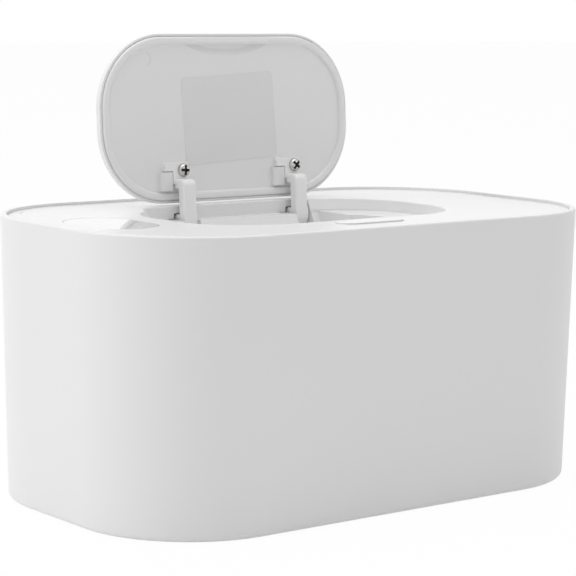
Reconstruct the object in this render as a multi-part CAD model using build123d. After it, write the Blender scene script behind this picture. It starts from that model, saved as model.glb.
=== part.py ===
from build123d import *
import math
import os

# Baby wipe warmer: a deep rounded box with a lift-off top cover, an oval touch key, and a pop-up lid.
# Millimetres. X runs along the box, -Y is the long front face, +Z is up. The origin is the middle of
# the footprint, on the surface that the box stands on. The lid stands open, as the object is shown.

# ---- outer body ----
body_length = 220.0
body_depth = 132.7
body_height = 105.6
corner_radius = 47.7
wall_draft = 1.33            # degrees, the walls draw in towards the base
shell_wall = 2.6
rim_wall = 2.0
rim_round = 0.8
seam_height = 2.9
seam_gap = 0.15
tray_round = 0.5
foot_lift = 0.6
base_round = 2.2

# ---- seat ring inside the shell, inner tub and its gasket ----
seat_ring_drop = 7.6         # from the shell's rim down to the ring
seat_ring_thickness = 2.4
seat_ring_width = 3.4
tub_flange_thickness = 2.0
tub_end_margin = 15.0         # from the body's outline to the tub's mouth, at the ends
tub_side_margin = 12.35
tub_corner_step = 11.7       # how much less than the body's corner radius the mouth's is
tub_wall = 1.8
tub_floor_top = 18.0
tub_floor_thickness = 2.0
tub_taper = 2.0              # how far each tub wall draws in from mouth to floor
gasket_width = 2.0
gasket_gap = 0.3
gasket_inset = 0.2           # from the tub's mouth to the gasket
gasket_round = 0.6

# ---- top cover ----
cover_drop = 1.0             # how far the cover lies below the shell's rim
cover_thickness = 2.6
cover_gap = 0.3
cover_round = 0.4
cover_lip_width = 1.5
skirt_wall = 1.4
skirt_depth = 6.5
skirt_gap = 0.5

# ---- recess for the lid, the well below it and the hinge pocket ----
lid_end_margin = 50.2        # from the body's outline to the lid, at the ends
lid_side_margin = 33.85
lid_end_flat = 4.0           # half of the straight stretch of each of the lid's ends
lid_x = 0.8                  # the lid and its recess lie a little to the right and to the rear
lid_y = 0.25
lid_side_gap = 1.4
recess_depth = 4.55
recess_wall = 1.8
recess_round = 0.5
recess_lean = 2.2            # how far the rear wall leans back to clear the lid as it swings
lean_start = 0.6
well_length = 89.4
well_width = 35.4
well_floor_depth = 14.6
well_floor_thickness = 2.0
bay_left_reach = 7.8         # from the left hinge's middle to the bay's end
bay_right_reach = 10.4       # from the right hinge's middle to the bay's other end
bay_pin_gap = 6.1            # from the bay's rear face to the hinge line
bay_slope_run = 5.4          # how far the bay's rear face leans forward over its height
pocket_left_reach = 7.3      # from the left hinge's middle to the pocket's end
pocket_right_reach = 6.85    # from the right hinge's middle to the pocket's other end
pocket_past_pin = 0.8
shelf_reach = 20.0           # from the left hinge's middle to the end of the shelf beside the pocket
shelf_corner = 11.0
pocket_depth = 5.2
pocket_round = 1.5

# ---- lid hinge ----
hinge_back = 6.95            # from the closed lid's rear edge to the hinge line
hinge_drop = 5.9             # from the cover's face to the hinge line
open_angle = 93.8
hinge_pitch = 54.4
pin_radius = 1.0
pin_fit = 0.02
pin_end_gap = 0.2
running_gap = 0.05
arm_width = 5.9
arm_offset = 3.2             # from each hinge's middle to its arm
arm_thickness = 3.5
arm_drop = 5.2               # from the pin to the arm's outer face
arm_reach = 16.2             # from the pin to the arm's elbow
elbow_radius = 2.5
arm_round = 0.9
barrel_radius = 2.7
slot_left_gap = 1.1
slot_right_gap = 0.7
slot_end_gap = 0.8
ear_width = 3.2

# ---- lid ----
lid_thickness = 3.3
lid_skin = 1.5
lid_round = 1.2
lid_wall = 0.9
panel_fit = 0.1              # between the panel and the lid's wall
groove_width = 0.15          # floor of the groove between the lid's wall and the rib
groove_depth = 0.3
rib_width = 2.95
rib_round = 1.0              # both sides of the rib roll over to its crest
rib_proud = 0.95             # how far the panel's rib stands out past the lid's rim
rib_height = 1.1
catch_x = 2.9                # stretch of the front rib that slopes away for the latch
catch_length = 36.0
catch_drop = 0.5
dish_radius = 47.0
dish_length = 4.65
dish_ramp = 2.6
dish_depth = 1.2
label_length = 44.5
label_width = 33.8
label_x = 1.6
label_y = 0.5
label_thickness = 0.15
label_turn = -2.8
label_radius = 2.0
foot_thickness = 2.0
foot_front_reach = 22.7      # from the hinge line to the foot's front edge
foot_rear_reach = 14.4
foot_left = -4.1
foot_right = 6.9
foot_round = 1.2
foot_gap = 0.3               # between a hinge's foot and its clip
clip_left = -5.8
clip_width = 5.1
clip_front_reach = 19.0      # from the hinge line to the clip's front face
clip_rear_reach = 11.8
clip_height = 2.0
clip_round = 0.7
lid_screw_offset = 4.3
lid_screw_reach = 19.55      # from the hinge line to the screws
lid_screw_head_radius = 2.6
lid_screw_head_height = 1.9
lid_screw_radius = 1.1
lid_screw_bite = 2.0
lid_screw_turns = (4, 40)    # how far each cross recess is turned
cross_length = 3.9
cross_width = 0.95
cross_depth = 1.0

# ---- push button in front of the lid ----
button_length = 29.0
button_width = 10.0
button_rear_gap = 4.4        # from the recess edge to the button
button_proud = 0.6
button_gap = 0.25
button_edge = 0.8
button_flange_height = 1.4
button_travel = 1.5
latch_width = 10.0
latch_thickness = 1.0
latch_drop = 1.2
latch_clear = 0.25
bracket_floor = 1.6
bracket_post = 3.6
bracket_depth = 8.0
spring_radius = 2.6
spring_wire = 0.5
spring_turns = 4

# ---- oval touch key and the display behind it ----
key_end_margin = 26.3        # from the body's outline to the key's middle
key_length = 40.2            # along Y
key_width = 26.2
key_thickness = 1.6
key_gap = 0.2
window_length = 14.0
window_width = 24.0
pan_left_reach = 8.9         # from the key's middle to the pan's end
pan_right_reach = 18.9
pan_half_width = 23.0
pan_wall = 1.4
pan_depth = 12.0
pan_ear = 7.0
pan_ear_thickness = 2.4
pan_post_radius = 2.4
board_thickness = 1.2
board_drop = 4.0             # from the cover's underside to the display board
board_edge_gap = 0.6
digit_height = 3.6

# ---- finger scoop at the rear left of the cover ----
scoop_end_margin = 29.5      # from the body's outline to the scoop's middle
scoop_rear_margin = 28.35
scoop_radius = 15.2
scoop_depth = 1.0
scoop_turn = 199.0           # the way its deep edge faces, degrees from +X

# ---- dispensing insert ----
insert_length = 70.0
insert_width = 20.0
insert_flange = 2.2
insert_flange_height = 1.2
insert_tail = 1.4
mouth_length = 54.0
mouth_width = 7.0

# ---- contacts between body and cover ----
contact_end_margin = 9.5
contact_width = 5.6
contact_length = 18.0
contact_pitch = 5.0
contact_count = 3
contact_radius = 1.0
contact_block_depth = 5.0
cover_block_height = 1.4
contact_clear = 0.1
ribbon_side = 1.4             # how far the ribbon reaches past its outer contacts
ribbon_thickness = 0.5

# ---- base, heater, insulation and electrics ----
screw_boss_radius = 4.0
screw_boss_inset = 3.4       # from the wall's inner face to each base screw
screw_boss_top = 22.0
rear_boss_x = 44.0
base_screw_radius = 1.4
base_screw_length = 12.0
base_screw_head_radius = 2.4
base_screw_head_height = 1.3
head_clear = 0.2
foot_pad_radius = 6.0
foot_pad_height = 1.6
foot_pad_end_margin = 30.0
foot_pad_side_margin = 33.35
rim_plug_height = 3.2
rim_plug_wall = 1.6
heater_low = 30.0
heater_drop = 18.0           # from the tub's flange to the heater's upper edge
heater_thickness = 1.0
insulation_low = 27.0
insulation_drop = 10.0
insulation_thickness = 4.0
layer_gap = 0.1
plate_length = 150.0
plate_width = 80.0
plate_radius = 10.0
plate_thickness = 1.2
film_thickness = 0.5
film_margin = 4.0
foam_thickness = 5.0
foam_rib_thickness = 2.0
foam_rib_y = 25.0
foam_rib_length = 140.0
stat_x = 40.0
stat_radius = 6.5
stat_height = 4.4
fuse_x = -30.0
fuse_radius = 1.6
fuse_length = 9.0
hole_margin = 1.5
board_length = 40.0
board_width = 15.0
board_wall_step = 7.35       # from the body's outline to the board's rear edge
board_lift = 1.6
jack_width = 9.2
jack_height = 9.4
jack_wall_step = 16.35
jack_nose_radius = 4.0
jack_nose_gap = 0.3
jack_bore_radius = 3.2
jack_bore_depth = 9.0
jack_pin_radius = 1.0
lead_radius = 0.8
lead_pitch = 2.2
socket_left = -19.0
socket_length = 4.0
board_screw_x = 17.0
board_screw_inset = 2.5

# ---- small screws, board parts and wiring ----
post_radius = 2.4
post_hole_radius = 1.1
pilot_radius = 1.0           # of the screws of the pan and the bracket
pilot_fit = 0.05
pilot_cover = 1.0            # left of the cover's face over each pilot hole
pilot_tip_gap = 0.2
pan_head_radius = 2.0
pan_head_height = 1.4
bracket_head_radius = 1.8
bracket_head_height = 1.3
display_head_radius = 1.7
display_head_height = 1.1
display_screw_radius = 0.8
display_hole_radius = 0.9
display_bite = 3.5
display_pilot = 4.0
can_x = -10.0
can_radius = 3.0
can_height = 7.0
coil_left = 7.5
coil_right = 13.0
coil_width = 6.0
coil_height = 3.6
socket_height = 4.0
socket_edge = 1.3
lead_inset = 6.0             # from the board's front edge to the first lead
lead_drop = 1.5
lead_wall_gap = 2.6
lead_lean = 1.4
lead_floor_gap = 1.6
lead_turn_margin = 32.0      # from the body's outline to the first lead's turn
lead_landing_margin = 16.0
base_cross_length = 3.0
base_cross_width = 0.7
base_cross_depth = 0.6
base_screw_tip = 0.5

# ---- sizes that follow ----
seat_ring_top = body_height - seat_ring_drop
tub_mouth_length = body_length - 2 * tub_end_margin
tub_mouth_depth = body_depth - 2 * tub_side_margin
tub_mouth_radius = corner_radius - tub_corner_step
lid_length = body_length - 2 * lid_end_margin
lid_width = body_depth - 2 * lid_side_margin
lid_radius = lid_width / 2 - lid_end_flat
seam_top = seam_height + seam_gap
cover_top = body_height - cover_drop
cover_bottom = cover_top - cover_thickness
flange_top = seat_ring_top + tub_flange_thickness
heater_high = flange_top - heater_drop
insulation_high = flange_top - insulation_drop
hinge_y = lid_y + lid_width / 2 + hinge_back
hinge_z = cover_top - hinge_drop
bay_left = -hinge_pitch / 2 - bay_left_reach
bay_right = hinge_pitch / 2 + bay_right_reach
bay_rear = hinge_y - bay_pin_gap
pocket_left = -hinge_pitch / 2 - pocket_left_reach
pocket_right = hinge_pitch / 2 + pocket_right_reach
shelf_left = -hinge_pitch / 2 - shelf_reach
pocket_rear = hinge_y + pocket_past_pin
foot_front = hinge_y - foot_front_reach
foot_rear = hinge_y - foot_rear_reach
clip_front = hinge_y - clip_front_reach
clip_rear = hinge_y - clip_rear_reach
lid_screw_y = hinge_y - lid_screw_reach
key_x = key_end_margin - body_length / 2
pan_left = key_x - pan_left_reach
pan_right = key_x + pan_right_reach
scoop_x = scoop_end_margin - body_length / 2
scoop_y = body_depth / 2 - scoop_rear_margin
contact_x = contact_end_margin - body_length / 2
foot_pad_x = body_length / 2 - foot_pad_end_margin
foot_pad_y = body_depth / 2 - foot_pad_side_margin
board_rear = body_depth / 2 - board_wall_step
jack_front = body_depth / 2 - jack_wall_step
lead_row = board_rear - board_width + lead_inset
recess_floor = cover_top - recess_depth
well_floor = cover_top - well_floor_depth
well_bottom = well_floor - well_floor_thickness
land_top = cover_top - pocket_depth
recess_length = lid_length + 2 * lid_side_gap
recess_width = lid_width + 2 * lid_side_gap
recess_radius = lid_radius + lid_side_gap
recess_front = lid_y - recess_width / 2
lid_rim_z = cover_top - lid_thickness
lid_skin_z = cover_top - lid_skin
groove_z = lid_rim_z + groove_depth
rib_foot_inset = lid_wall + panel_fit + groove_width
panel_inset = rib_foot_inset + rib_width
rib_z = lid_rim_z - rib_proud
panel_z = rib_z + rib_height
foot_z = panel_z - foot_thickness
hinge_middles = (-hinge_pitch / 2, hinge_pitch / 2)
slot_rear = hinge_y + arm_drop + slot_end_gap
slot_floor = hinge_z - arm_drop - 2 * slot_end_gap
hinge_block_rear = slot_rear + recess_wall
window_top = hinge_z + barrel_radius + 0.3
button_y = recess_front - button_rear_gap - button_width / 2
button_hole_length = button_length + 2 * button_gap
button_hole_width = button_width + 2 * button_gap
bracket_top = cover_bottom
bracket_bottom = cover_bottom - bracket_depth
button_flange_top = cover_bottom - running_gap
button_flange_bottom = button_flange_top - button_flange_height
button_flange_front = button_y - button_width / 2 - button_edge
button_flange_rear = recess_front - recess_wall - button_gap
spring_y = (button_flange_front + button_flange_rear) / 2
bracket_x = button_length / 2 + button_edge + 2 * button_gap + bracket_post / 2
pan_bottom = cover_bottom - pan_depth
board_top = cover_bottom - board_drop
board_bottom = board_top - board_thickness
contact_ys = [contact_pitch * (i - (contact_count - 1) / 2) for i in range(contact_count)]
plate_top = tub_floor_top - tub_floor_thickness
film_top = plate_top - plate_thickness
foam_top = film_top - film_thickness
foam_bottom = foam_top - foam_thickness
board_z = seam_height + board_lift
jack_bottom = board_z + board_thickness
jack_axis_z = jack_bottom + jack_height / 2


def draw_in(z):
    """How far the outer wall has drawn in at height z."""
    return (body_height - z) * math.tan(math.radians(wall_draft))


def plan(inset, z):
    """The body's rounded outline at height z, set in from the outer wall."""
    step = inset + draw_in(z)
    shape = RectangleRounded(body_length - 2 * step, body_depth - 2 * step, corner_radius - step)
    return Pos(0, 0, z) * shape


def body_block(inset, low, high):
    """A solid that fills the body's outline, set in by inset, between two heights."""
    return loft([plan(inset, low), plan(inset, high)])


def block(x0, x1, y0, y1, z0, z1):
    """A plain block between two corners."""
    middle = Pos((x0 + x1) / 2, (y0 + y1) / 2, (z0 + z1) / 2)
    return middle * Box(abs(x1 - x0), abs(y1 - y0), abs(z1 - z0))


def rod(x, y, radius, low, high):
    """An upright round rod."""
    return Pos(x, y, (low + high) / 2) * Cylinder(radius, high - low)


def rod_x(y, z, radius, left, right):
    """A round rod along X."""
    return Pos((left + right) / 2, y, z) * Rot(0, 90, 0) * Cylinder(radius, right - left)


def rod_y(x, z, radius, front, rear):
    """A round rod along Y."""
    return Pos(x, (front + rear) / 2, z) * Rot(90, 0, 0) * Cylinder(radius, rear - front)


def prism(shape, low, high):
    """A flat shape raised between two heights."""
    return extrude(Pos(0, 0, low) * shape, high - low)


def rounded_prism(length, width, radius, low, high):
    return prism(RectangleRounded(length, width, radius), low, high)


def tub_plan(grow, z):
    """The tub's inner outline at height z, grown outwards."""
    step = grow - tub_taper * (flange_top - z) / (flange_top - tub_floor_top)
    return Pos(0, 0, z) * RectangleRounded(
        tub_mouth_length + 2 * step, tub_mouth_depth + 2 * step, tub_mouth_radius + step)


def tub_block(grow, low, high):
    return loft([tub_plan(grow, low), tub_plan(grow, high)])


def lid_face(inset, height):
    """The lid's outline drawn in by an inset, at a height."""
    return Pos(lid_x, lid_y, height) * RectangleRounded(lid_length - 2 * inset, lid_width - 2 * inset,
                                                        lid_radius - inset)


def lid_block(inset, low, high):
    """The lid's outline drawn in by an inset, from one height to another."""
    return extrude(lid_face(inset, low), high - low)


def recess_face(grow, height, back=0):
    """The outline of the lid's recess, grown outwards and moved back, at a height."""
    return Pos(lid_x, lid_y + back, height) * RectangleRounded(
        recess_length + 2 * grow, recess_width + 2 * grow, recess_radius + grow)


def shelf_block(grow, low, high):
    """The shelf that carries the recess back to the hinge pocket's rear wall at the left, grown outwards."""
    shelf = block(shelf_left - grow, pocket_left + 1, 0, pocket_rear + grow, low, high)
    corner = shelf.edges().filter_by(Axis.Z).sort_by(Axis.Y)[-2:].sort_by(Axis.X)[:1]
    return fillet(corner, shelf_corner + grow)


def opened(solid):
    """Swing a piece of the closed lid up to where the lid stands open."""
    axle = Pos(0, hinge_y, hinge_z)
    return axle * Rot(-open_angle, 0, 0) * Pos(0, -hinge_y, -hinge_z) * solid


def edges_at(solid, z):
    """The edges that lie flat at height z."""
    return [e for e in solid.edges() if abs(e.bounding_box().min.Z - z) < 1e-4
            and abs(e.bounding_box().max.Z - z) < 1e-4]


def together(solids):
    """Separate solids of one kind, kept as one group."""
    return Compound(children=[s for piece in solids for s in piece.solids()])


# ---- outer body ----
base_wall_y = body_depth / 2 - draw_in(seam_height) - shell_wall
corner_reach = (corner_radius - draw_in(seam_height) - shell_wall - screw_boss_inset) / math.sqrt(2)
boss_x = body_length / 2 - corner_radius + corner_reach
boss_y = body_depth / 2 - corner_radius + corner_reach
boss_places = [(sx * boss_x, sy * boss_y) for sx in (-1, 1) for sy in (-1, 1)]
boss_places += [(0.0, screw_boss_inset - base_wall_y), (rear_boss_x, base_wall_y - screw_boss_inset)]


def make_outer_shell():
    shell = body_block(0, foot_lift, body_height)
    shell = fillet(edges_at(shell, body_height), rim_round)
    shell = fillet(edges_at(shell, foot_lift), base_round)
    shell -= body_block(rim_wall, seat_ring_top, body_height + 1)
    shell -= body_block(shell_wall + seat_ring_width, foot_lift - 1, seat_ring_top + 1)
    shell -= body_block(shell_wall, foot_lift - 1, seat_ring_top - seat_ring_thickness)
    trim = body_block(shell_wall / 2, seam_top, screw_boss_top)
    for x, y in boss_places:
        boss = rod(x, y, screw_boss_radius, seam_top, screw_boss_top) & trim
        shell += boss
        shell -= rod(x, y, base_screw_radius + pin_fit, seam_top - 1, seam_height + base_screw_length)
    shell -= rod_y(0, jack_axis_z, jack_nose_radius + jack_nose_gap, base_wall_y - 2, body_depth / 2 + 1)
    return shell


def make_base_tray():
    tray = body_block(shell_wall + seam_gap, foot_lift, seam_height)
    tray = fillet(edges_at(tray, foot_lift), tray_round)
    plug = body_block(shell_wall + cover_gap, seam_height, seam_height + rim_plug_height)
    plug -= body_block(shell_wall + cover_gap + rim_plug_wall, seam_height, seam_height + rim_plug_height)
    for x, y in boss_places:
        plug -= rod(x, y, screw_boss_radius + cover_gap, seam_height, seam_height + rim_plug_height)
    plug -= block(-board_length / 2 - 1, board_length / 2 + 1, jack_front, body_depth / 2,
                  seam_height, seam_height + rim_plug_height)
    tray += plug
    for x, y in boss_places:
        tray -= rod(x, y, base_screw_radius + head_clear, foot_lift, seam_height)
        tray -= rod(x, y, base_screw_head_radius + head_clear, foot_lift,
                    foot_lift + base_screw_head_height + head_clear)
    for sx in (-1, 1):
        for sy in (-1, 1):
            tray -= rod(sx * foot_pad_x, sy * foot_pad_y, foot_pad_radius, 0, foot_pad_height)
    for side in (-1, 1):
        tray += block(-foam_rib_length / 2, foam_rib_length / 2, side * foam_rib_y - foam_rib_thickness / 2,
                      side * foam_rib_y + foam_rib_thickness / 2, seam_height, foam_bottom)
    for x in (-board_screw_x, board_screw_x):
        tray += rod(x, board_rear - board_width + board_screw_inset, post_radius, seam_height, board_z)
    return tray


def make_foot_pads():
    return together([rod(sx * foot_pad_x, sy * foot_pad_y, foot_pad_radius, 0, foot_pad_height)
                     for sx in (-1, 1) for sy in (-1, 1)])


def make_base_screws():
    screws = []
    for x, y in boss_places:
        head_top = foot_lift + base_screw_head_height + head_clear
        screw = rod(x, y, base_screw_radius, head_top, seam_height + base_screw_length - base_screw_tip)
        screw += rod(x, y, base_screw_head_radius, head_top - base_screw_head_height, head_top)
        for turn in (0, 90):
            screw -= (Pos(x, y, head_top - base_screw_head_height) * Rot(0, 0, turn)
                      * Box(base_cross_length, base_cross_width, 2 * base_cross_depth))
        screws.append(screw)
    return together(screws)


# ---- tub, heater and insulation ----
def make_liner_tub():
    tub = body_block(rim_wall + cover_gap, seat_ring_top, flange_top)
    tub += tub_block(tub_wall, plate_top, flange_top)
    tub -= tub_block(0, tub_floor_top, flange_top)
    tub -= block(contact_x - contact_width / 2, contact_x + contact_width / 2, -contact_length / 2,
                 contact_length / 2, seat_ring_top - 1, flange_top + 1)
    return tub


def make_tub_gasket():
    low, high = flange_top, cover_bottom - gasket_gap
    ring = extrude(tub_plan(gasket_width + gasket_inset, low), high - low)
    ring -= extrude(tub_plan(gasket_inset, low), high - low)
    ring = fillet(edges_at(ring, high), gasket_round)
    return ring


def make_heater_band():
    band = tub_block(tub_wall + layer_gap + heater_thickness, heater_low, heater_high)
    return band - tub_block(tub_wall + layer_gap, heater_low, heater_high)


def make_insulation_wrap():
    inner = tub_wall + heater_thickness + 2 * layer_gap
    wrap = tub_block(inner + insulation_thickness, insulation_low, insulation_high)
    wrap -= tub_block(inner, insulation_low, insulation_high)
    return wrap


def make_heat_plate():
    return rounded_prism(plate_length, plate_width, plate_radius, film_top, plate_top)


def make_floor_heater():
    return rounded_prism(plate_length - 2 * film_margin, plate_width - 2 * film_margin,
                         plate_radius - film_margin / 2, foam_top, film_top)


def make_floor_foam():
    foam = rounded_prism(plate_length, plate_width, plate_radius, foam_bottom, foam_top)
    foam -= rod(stat_x, 0, stat_radius + hole_margin, foam_bottom, foam_top)
    foam -= block(fuse_x - fuse_length / 2 - hole_margin, fuse_x + fuse_length / 2 + hole_margin,
                  -fuse_radius - hole_margin, fuse_radius + hole_margin, foam_bottom, foam_top)
    return foam


def make_thermostat():
    stat = rod(stat_x, 0, stat_radius, foam_top - stat_height * 0.6, foam_top)
    stat += rod(stat_x, 0, stat_radius * 0.7, foam_top - stat_height, foam_top - stat_height * 0.6)
    for side in (-1, 1):
        stat += block(stat_x - 0.4, stat_x + 0.4, side * 2.8 - 1.2, side * 2.8 + 1.2,
                      foam_top - stat_height - 2.5, foam_top - stat_height)
    return stat


def make_thermal_fuse():
    z = foam_top - fuse_radius
    fuse = rod_x(0, z, fuse_radius, fuse_x - fuse_length / 2, fuse_x + fuse_length / 2)
    return fuse + rod_x(0, z, 0.4, fuse_x - fuse_length / 2 - 1, fuse_x + fuse_length / 2 + 1)


# ---- electrics in the base ----
def make_power_board():
    board = block(-board_length / 2, board_length / 2, board_rear - board_width, board_rear,
                  board_z, board_z + board_thickness)
    for x in (-board_screw_x, board_screw_x):
        board -= rod(x, board_rear - board_width + board_screw_inset, post_hole_radius, board_z,
                     board_z + board_thickness)
    return board


def make_board_parts():
    top = board_z + board_thickness
    y = board_rear - board_width / 2
    reservoir = rod(can_x, y, can_radius, top, top + can_height)
    coil = block(coil_left, coil_right, y - coil_width / 2, y + coil_width / 2, top, top + coil_height)
    socket = block(socket_left, socket_left + socket_length, lead_row - socket_edge,
                   lead_row + 2 * lead_pitch + socket_edge, top, top + socket_height)
    return together([reservoir, coil, socket])


def make_board_screws():
    screws = []
    for x in (-board_screw_x, board_screw_x):
        top = board_z + board_thickness
        y = board_rear - board_width + board_screw_inset
        screws.append(rod(x, y, pan_head_radius, top, top + pan_head_height)
                      + rod(x, y, post_hole_radius - pilot_fit, board_z, top))
    return together(screws)


def make_power_jack():
    nose_tip = body_depth / 2 - draw_in(jack_axis_z) - 0.3
    body_rear = base_wall_y - 0.2
    jack = block(-jack_width / 2, jack_width / 2, jack_front, body_rear, jack_bottom,
                 jack_bottom + jack_height)
    jack += rod_y(0, jack_axis_z, jack_nose_radius, body_rear - 0.5, nose_tip)
    jack -= rod_y(0, jack_axis_z, jack_bore_radius, nose_tip - jack_bore_depth, nose_tip + 1)
    jack += rod_y(0, jack_axis_z, jack_pin_radius, nose_tip - jack_bore_depth - 1, nose_tip - 1.5)
    return jack


def contact_hole_ends():
    return contact_x - contact_width / 2, contact_x + contact_width / 2


def make_base_contact_block():
    left, right = contact_hole_ends()
    holder = block(left + layer_gap, right - layer_gap, -contact_length / 2 + layer_gap,
                   contact_length / 2 - layer_gap, flange_top - contact_block_depth, flange_top)
    for y in contact_ys:
        holder -= rod(contact_x, y, contact_radius + pin_fit, flange_top - 1.5, flange_top + 1)
    return holder & body_block(shell_wall + layer_gap, flange_top - contact_block_depth, flange_top)


def make_base_contacts():
    return together([rod(contact_x, y, contact_radius, flange_top - 1.5, flange_top + 0.1)
                     for y in contact_ys])


def make_contact_leads():
    """Three wires from the contact block down the left end to the base, then back to the board."""
    low = seam_height + rim_plug_height + lead_floor_gap
    top_z = flange_top - contact_block_depth
    down_x = -body_length / 2 + draw_in(insulation_high) + shell_wall + lead_wall_gap
    landing_x = lead_landing_margin - body_length / 2
    leads = []
    for i, y in enumerate(contact_ys):
        turn_x = lead_turn_margin - body_length / 2 - lead_pitch * i
        row_y = lead_row + lead_pitch * i
        points = [(contact_x, y, top_z), (contact_x, y, top_z - lead_drop),
                  (down_x, y, insulation_high + 1.2 * lead_drop),
                  (down_x + lead_lean, y, insulation_low - 4 * lead_drop), (landing_x, y, low),
                  (turn_x, y, low), (turn_x, row_y, low), (socket_left, row_y, low)]
        leads.append(wire_along(points, lead_radius))
    return together(leads)


def bend_radii(points, share=0.45):
    """The largest arc at each corner that its two runs allow."""
    places = [Vector(*p) for p in points]
    radii = []
    for before, corner, after in zip(places, places[1:], places[2:]):
        run_in, run_out = corner - before, after - corner
        turn = math.radians(run_in.get_angle(run_out))
        radii.append(share * min(run_in.length, run_out.length) / math.tan(turn / 2))
    return radii


def wire_along(points, radius):
    """A round wire along straight runs that are joined by arcs."""
    path = FilletPolyline(*points, radius=bend_radii(points))
    start = Plane(origin=path @ 0, z_dir=path % 0)
    return sweep(start * Circle(radius), path=path)


# ---- top cover ----
def make_top_cover():
    cover = body_block(rim_wall + cover_gap, cover_bottom, cover_top)
    cover = fillet(edges_at(cover, cover_top), cover_round)
    lip = body_block(rim_wall + cover_gap, flange_top, cover_bottom)
    lip -= body_block(rim_wall + cover_gap + cover_lip_width, flange_top, cover_bottom)
    cover += lip
    mouth = RectangleRounded(tub_mouth_length - 2 * skirt_gap, tub_mouth_depth - 2 * skirt_gap,
                             tub_mouth_radius - skirt_gap)
    mouth_inner = RectangleRounded(tub_mouth_length - 2 * (skirt_gap + skirt_wall),
                                   tub_mouth_depth - 2 * (skirt_gap + skirt_wall),
                                   tub_mouth_radius - skirt_gap - skirt_wall)
    skirt = prism(mouth, cover_bottom - skirt_depth, cover_bottom)
    skirt -= prism(mouth_inner, cover_bottom - skirt_depth, cover_bottom)
    cover += skirt

    # solid body of the recess, the well and the hinge block, hollowed next
    recess_bottom = recess_floor - recess_wall
    cover += extrude(recess_face(recess_wall, recess_bottom), cover_bottom - recess_bottom)
    cover += shelf_block(recess_wall, recess_bottom, cover_bottom)
    cover += rounded_prism(well_length + 2 * recess_wall, well_width + 2 * recess_wall,
                           well_width / 2 + recess_wall - 0.1, well_bottom, recess_floor)
    cover += block(bay_left - recess_wall, bay_right + recess_wall, 0, hinge_block_rear,
                   well_bottom, cover_bottom)

    # recess and hinge pocket, open at the top
    opening = extrude(recess_face(0, recess_floor), recess_depth + 1)
    pocket = block(pocket_left, pocket_right, 0, pocket_rear, land_top, cover_top + 1)
    corner = pocket.edges().filter_by(Axis.Z).sort_by(Axis.Y)[-2:].sort_by(Axis.X)[-1:]
    pocket = fillet(corner, pocket_round)
    pocket &= block(pocket_left, pocket_right, bay_rear - 3, pocket_rear, land_top, cover_top + 1)
    pocket += shelf_block(0, recess_floor, cover_top + 1) & block(
        shelf_left, pocket_left + 1, bay_rear - 3, pocket_rear, recess_floor, cover_top + 1)
    rise = recess_depth - lean_start + 1
    lean = loft([recess_face(0, recess_floor + lean_start),
                 recess_face(0, cover_top + 1, recess_lean * rise / (rise - 1))])
    cover -= opening + pocket + lean
    rim = [e for e in edges_at(cover, cover_top) if abs(e.center().X) < recess_length / 2 + 1
           and e.bounding_box().size.X < recess_length and e.bounding_box().max.Y < pocket_rear + 1
           and e.bounding_box().min.Y > recess_front - 1]
    cover = fillet(rim, recess_round)

    # well, and the bay for the hinge feet with its sloping rear face
    well = prism(SlotOverall(well_length, well_width), well_floor, recess_floor + 1)
    bay_section = Polyline((0, well_floor), (bay_rear - bay_slope_run, well_floor), (bay_rear, land_top),
                           (bay_rear, cover_bottom), (0, cover_bottom), close=True)
    bay_face = Plane.YZ * make_face(bay_section)
    bay = extrude(Pos(bay_left, 0, 0) * bay_face, bay_right - bay_left)
    bay -= block(bay_left, bay_right, 0, bay_rear, recess_floor + 0.8, cover_bottom + 1)
    cover -= well + bay

    # slots that the hinge arms swing in, and cradles for their pins
    for middle in hinge_middles:
        left, right = slot_sides(middle)
        cover -= block(left, right, hinge_y - arm_reach - slot_end_gap, slot_rear, slot_floor, window_top)
        cradle = rod_x(hinge_y, hinge_z, pin_radius + pin_fit, left - ear_width, right + ear_width)
        cover -= cradle
        cradle += block(left - ear_width, right + ear_width, hinge_y - pin_radius - pin_fit,
                        hinge_y + pin_radius + pin_fit, hinge_z, land_top + 1)
        cover -= cradle & block(-body_length, body_length, hinge_y - 2, pocket_rear, hinge_z - 2, land_top)

    # way through the well floor for the dispensing insert
    cover -= prism(SlotOverall(insert_length + layer_gap, insert_width + layer_gap), well_bottom - 1,
                   well_floor + 1)

    # button hole, its latch window and the screw holes of its bracket
    hole = prism(SlotOverall(button_hole_length, button_hole_width), cover_bottom - 1, cover_top + 1)
    wall_side = button_rear_gap + button_width / 2 - recess_wall
    hole -= block(-body_length, body_length, wall_side, body_depth, cover_bottom - 1, cover_bottom)
    cover -= Pos(0, button_y, 0) * hole
    latch_top = cover_top - latch_drop + button_gap
    cover -= block(-latch_width / 2 - button_gap, latch_width / 2 + button_gap, button_y, recess_front + 1,
                   latch_top - latch_thickness - button_travel - 2 * button_gap, latch_top)
    for side in (-1, 1):
        cover -= rod(side * bracket_x, spring_y, pilot_radius, cover_bottom - 1, cover_top - pilot_cover)

    # seat and window of the touch key
    cover -= key_block(key_gap, cover_top + 1)
    cover -= block(key_x - window_length / 2, key_x + window_length / 2, -window_width / 2,
                   window_width / 2, cover_bottom - 1, cover_top)
    for side in (-1, 1):
        cover -= rod((pan_left + pan_right) / 2, side * (pan_half_width + pan_ear / 2), pilot_radius,
                     cover_bottom - 1, cover_top - pilot_cover)
    channel = contact_pitch + ribbon_side + 0.2
    cover -= block(contact_x - 2.0, pan_left + pan_wall + 1.3, -channel, channel, cover_bottom - skirt_depth,
                   cover_bottom + ribbon_thickness + 0.1)
    cover -= make_scoop_tool()
    return cover


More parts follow.
